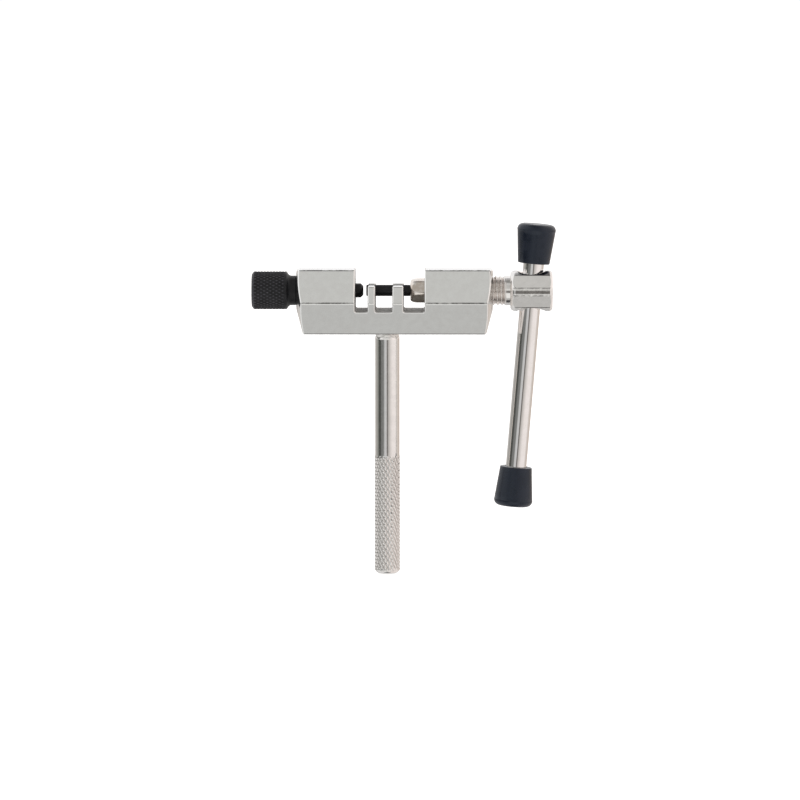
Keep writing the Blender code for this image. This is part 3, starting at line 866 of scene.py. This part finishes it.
# ---------------------------------------------------------------- light, floor and camera
# What the studio shows round the tool: degrees from the camera's side towards the right, and a linear
# colour. Level with the tool there are dark strips beside the lights, which draw the lines on its rods.
LEVEL_VIEW = (
    (-180, (0.70, 0.65, 0.61)), (-150, (0.60, 0.585, 0.57)), (-118, (0.42, 0.41, 0.39)),
    (-96, (0.30, 0.31, 0.29)), (-86, (0.085, 0.088, 0.080)), (-66, (0.075, 0.078, 0.072)),
    (-56, (0.20, 0.205, 0.20)), (-34, (0.22, 0.225, 0.22)), (-25, (0.60, 0.61, 0.61)),
    (-7, (0.64, 0.64, 0.65)), (-3, (0.17, 0.16, 0.15)), (4, (0.17, 0.16, 0.15)),
    (10, (0.50, 0.48, 0.46)), (30, (0.76, 0.72, 0.70)), (48, (0.93, 0.88, 0.86)),
    (90, (0.95, 0.90, 0.88)), (102, (0.76, 0.71, 0.67)), (124, (0.62, 0.55, 0.50)),
    (155, (0.66, 0.57, 0.51)), (180, (0.70, 0.65, 0.61)),
)
UPPER_VIEW = (
    (-180, (1.05, 1.05, 1.06)), (-130, (1.00, 1.00, 1.01)), (-110, (1.04, 1.04, 1.04)),
    (-58, (1.00, 1.00, 1.00)), (-32, (0.64, 0.645, 0.63)), (0, (0.62, 0.62, 0.605)),
    (24, (0.62, 0.60, 0.58)), (55, (1.05, 0.98, 0.95)), (140, (1.02, 0.96, 0.93)),
    (180, (1.05, 1.05, 1.06)),
)
LOWER_VIEW = (
    (-180, (0.62, 0.62, 0.62)), (-135, (0.72, 0.72, 0.72)), (-90, (0.90, 0.90, 0.90)),
    (-40, (0.58, 0.58, 0.57)), (0, (0.555, 0.555, 0.545)), (30, (0.58, 0.56, 0.55)),
    (80, (0.90, 0.84, 0.81)), (140, (0.86, 0.80, 0.77)), (180, (0.62, 0.62, 0.62)),
)
# How bright the upper and lower views are, by elevation. These bands come in over the azimuths of
# FRONT, towards the camera, and all the way round over the elevations of STEEP.
UPPER_LINES = ((3, 1.3), (12, 1.3), (18, 0.95), (42, 0.85),
               (48, 1.0), (60, 1.0), (68, 0.45), (90, 0.40))
LOWER_LINES = ((-90, 0.08), (-80, 0.10), (-71, 1.0), (-60, 1.0),
               (-52, 1.7), (-18, 1.7), (-12, 1.0))
FRONT = (math.radians(45), math.radians(18))
STEEP = (56, 64)
# Where the level view gives way to the upper one and to the lower one, by elevation
UPPER_EDGE = (1.5, 4.0)
LOWER_EDGE = (-13.0, -17.0)
WHITE = (1.0, 1.0, 1.0)
SEEN_STRENGTH = 1.05


def make_world():
    """A soft white studio with lights overhead, left and right, seen as plain white by the camera."""
    world = bpy.data.worlds.new("studio")
    bpy.context.scene.world = world
    world.use_nodes = True
    world.node_tree.nodes.clear()
    room = Wires(world.node_tree)
    direction = room.node("SeparateXYZ")
    room.link(room.node("TexCoord").outputs["Generated"], direction.inputs[0])
    towards_camera = room.math("MULTIPLY", direction.outputs["Y"], -1.0)
    azimuth = room.math("ARCTAN2", direction.outputs["X"], towards_camera)
    turn = room.math("ADD", room.math("DIVIDE", azimuth, 2 * math.pi), 0.5)
    elevation = room.math("MULTIPLY", room.math("ARCSINE", direction.outputs["Z"]), 180 / math.pi)
    climb = room.math("ADD", room.math("DIVIDE", elevation, 180.0), 0.5)
    level, upper, lower = (
        room.table(turn, [((degrees + 180) / 360, colour) for degrees, colour in view])
        for view in (LEVEL_VIEW, UPPER_VIEW, LOWER_VIEW))

    in_front = room.ramp(room.math("ABSOLUTE", azimuth), *FRONT)
    steep = room.ramp(room.math("ABSOLUTE", elevation), *STEEP)
    banded = room.math("MAXIMUM", in_front, steep)

    def with_lines(view, lines):
        """A view with its bands of brightness."""
        bands = room.table(climb, [((degrees + 90) / 180, (share,) * 3) for degrees, share in lines])
        return room.mix(1.0, view, room.mix(banded, WHITE, bands), "MULTIPLY")

    around = room.mix(room.ramp(elevation, *UPPER_EDGE), level, with_lines(upper, UPPER_LINES))
    around = room.mix(room.ramp(elevation, *LOWER_EDGE), around, with_lines(lower, LOWER_LINES))
    lit = room.node("Background")
    room.link(around, lit.inputs["Color"])
    white = room.node("Background")
    room.fill(white, Color=(*WHITE, 1.0), Strength=SEEN_STRENGTH)
    seen = room.node("MixShader")
    room.link(room.node("LightPath").outputs["Is Camera Ray"], seen.inputs["Fac"])
    room.link(lit.outputs[0], seen.inputs[1])
    room.link(white.outputs[0], seen.inputs[2])
    room.link(seen.outputs[0], room.node("OutputWorld").inputs["Surface"])


def make_floor():
    """A pale floor under the handle's end."""
    shape = bmesh.new()
    bmesh.ops.create_circle(shape, cap_ends=True, radius=FLOOR_RADIUS, segments=96)
    mesh = mesh_from("floor", shape)
    floor = new_piece("floor", mesh, Matrix.Translation((0, 0, -FLOOR_GAP)))
    shade = Shade("floor_white")
    shade.fill(shade.shader, Base_Color=(0.9, 0.9, 0.9, 1), Roughness=0.9,
               Emission_Color=(1, 1, 1, 1), Emission_Strength=0.6)
    mesh.materials.append(shade.material)
    floor.visible_glossy = False


def make_camera():
    """A long lens, a little above the tool."""
    data = bpy.data.cameras.new("camera")
    data.sensor_width = SENSOR_WIDTH
    data.lens = LENS
    data.clip_start = 0.05
    camera = bpy.data.objects.new("camera", data)
    bpy.context.scene.collection.objects.link(camera)
    level = math.cos(CAMERA_ELEVATION)
    towards = Vector((math.sin(CAMERA_AZIMUTH) * level, -math.cos(CAMERA_AZIMUTH) * level,
                      math.sin(CAMERA_ELEVATION)))
    camera.location = CAMERA_TARGET + CAMERA_DISTANCE * towards
    camera.rotation_euler = (math.pi / 2 - CAMERA_ELEVATION, 0, CAMERA_AZIMUTH)
    bpy.context.scene.camera = camera


make_camera()
make_world()
make_floor()
bpy.context.scene.view_settings.view_transform = "Standard"

SCREW_STEEL = screw_steel()
CAP_RUBBER = cap_rubber()
make_body()
make_handle()
make_spindle()
make_head()
make_retainer()
make_pin()
make_support_knob()
make_nose()
make_bar()
make_cap("cap_top", "upper_cap", UPPER_CAP_START, False)
make_cap("cap_bottom", "lower_cap", LOWER_CAP_START, True)
